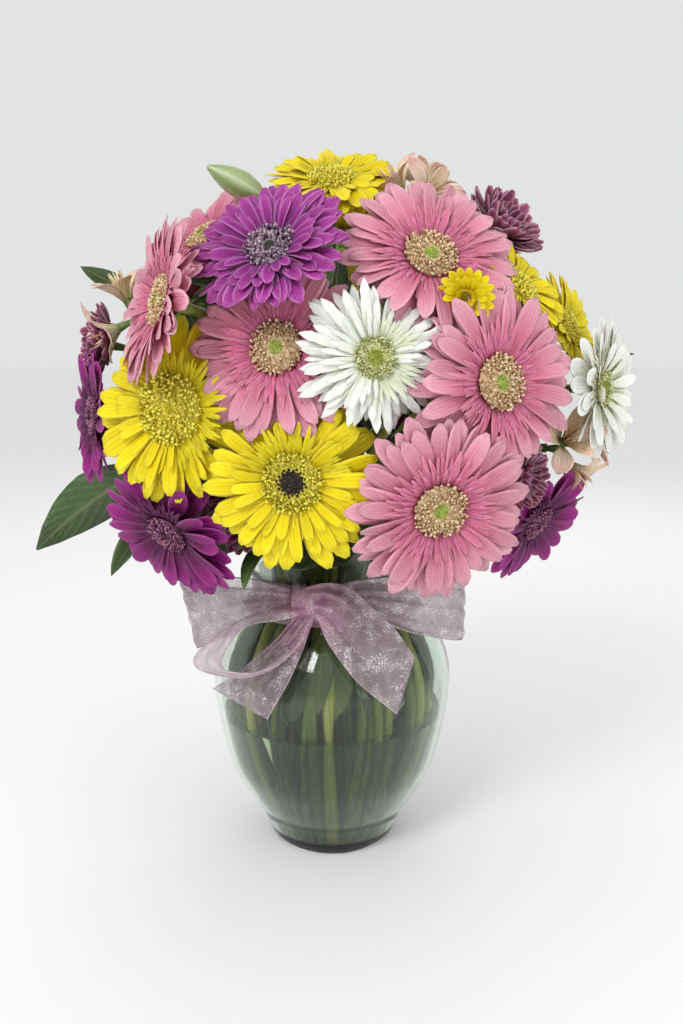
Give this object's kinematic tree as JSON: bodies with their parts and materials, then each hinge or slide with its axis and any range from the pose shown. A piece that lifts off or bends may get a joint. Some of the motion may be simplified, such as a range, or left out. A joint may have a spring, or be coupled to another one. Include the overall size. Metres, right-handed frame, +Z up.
{
  "type": "gerbera bouquet in a glass vase",
  "caption": "Domed bouquet of gerberas with small filler flowers and leaves, standing in water in a clear glass urn vase with an organza bow.",
  "frame": {"origin": "centre of the underside of the vase's foot, on the surface that it stands on", "axes": "+Z up; the front, with the bow, faces -Y; +X is to the right seen from the front"},
  "size_m": [0.416, 0.3123, 0.4946],
  "materials": {
    "cream_petals": "soft cream petals flushed with pink",
    "plum_petals": "small soft plum petals",
    "green_disc": "packed green and gold florets",
    "violet_petals": "soft red-violet petals with pale edges",
    "pink_petals": "soft petals, light tips and a deep pink heart",
    "yellow_petals": "soft bright yellow petals",
    "white_petals": "soft narrow white petals",
    "dark_disc": "packed dark brown florets",
    "magenta_petals": "soft dark magenta petals",
    "organza": "sheer mauve-pink organza with a fine glitter",
    "greens": "fresh green stems, calyces and leaves",
    "glass": "clear pressed glass with a faint green tint",
    "water": "clear water, faintly green"
  },
  "bodies": {
    "root": {"alstroemeria_back": "cream_petals", "alstroemeria_left": "cream_petals", "alstroemeria_right": "cream_petals", "alstroemeria_top": "cream_petals", "chrysanthemum_left": "plum_petals", "chrysanthemum_low_left": "plum_petals", "chrysanthemum_low_right": "plum_petals", "chrysanthemum_top_right": "plum_petals", "gerbera_01_violet_disc": "green_disc", "gerbera_01_violet_petals": "violet_petals", "gerbera_02_pink_disc": "green_disc", "gerbera_02_pink_petals": "pink_petals", "gerbera_03_pink_disc": "green_disc", "gerbera_03_pink_petals": "pink_petals", "gerbera_04_yellow_disc": "green_disc", "gerbera_04_yellow_petals": "yellow_petals", "gerbera_05_white_disc": "green_disc", "gerbera_05_white_petals": "white_petals", "gerbera_06_pink_disc": "green_disc", "gerbera_06_pink_petals": "pink_petals", "gerbera_07_pink_disc": "green_disc", "gerbera_07_pink_petals": "pink_petals", "gerbera_08_pink_disc": "green_disc", "gerbera_08_pink_petals": "pink_petals", "gerbera_09_yellow_disc": "green_disc", "gerbera_09_yellow_petals": "yellow_petals", "gerbera_10_yellow_disc": "dark_disc", "gerbera_10_yellow_petals": "yellow_petals", "gerbera_11_white_disc": "green_disc", "gerbera_11_white_petals": "white_petals", "gerbera_12_yellow_disc": "green_disc", "gerbera_12_yellow_petals": "yellow_petals", "gerbera_13_magenta_disc": "green_disc", "gerbera_13_magenta_petals": "magenta_petals", "gerbera_14_magenta_disc": "green_disc", "gerbera_14_magenta_petals": "magenta_petals", "gerbera_15_magenta_disc": "green_disc", "gerbera_15_magenta_petals": "magenta_petals", "gerbera_16_pink_disc": "green_disc", "gerbera_16_pink_petals": "pink_petals", "gerbera_17_yellow_disc": "green_disc", "gerbera_17_yellow_petals": "yellow_petals", "gerbera_18_white_disc": "green_disc", "gerbera_18_white_petals": "white_petals", "gerbera_19_yellow_disc": "green_disc", "gerbera_19_yellow_petals": "yellow_petals", "gerbera_20_pink_disc": "green_disc", "gerbera_20_pink_petals": "pink_petals", "gerbera_21_pink_disc": "green_disc", "gerbera_21_pink_petals": "pink_petals", "gerbera_22_magenta_disc": "green_disc", "gerbera_22_magenta_petals": "magenta_petals", "gerbera_23_yellow_disc": "green_disc", "gerbera_23_yellow_petals": "yellow_petals", "gerbera_24_pink_disc": "green_disc", "gerbera_24_pink_petals": "pink_petals", "ribbon": "organza", "stems_and_leaves": "greens", "vase": "glass", "water": "water"}
  },
  "joints": []
}
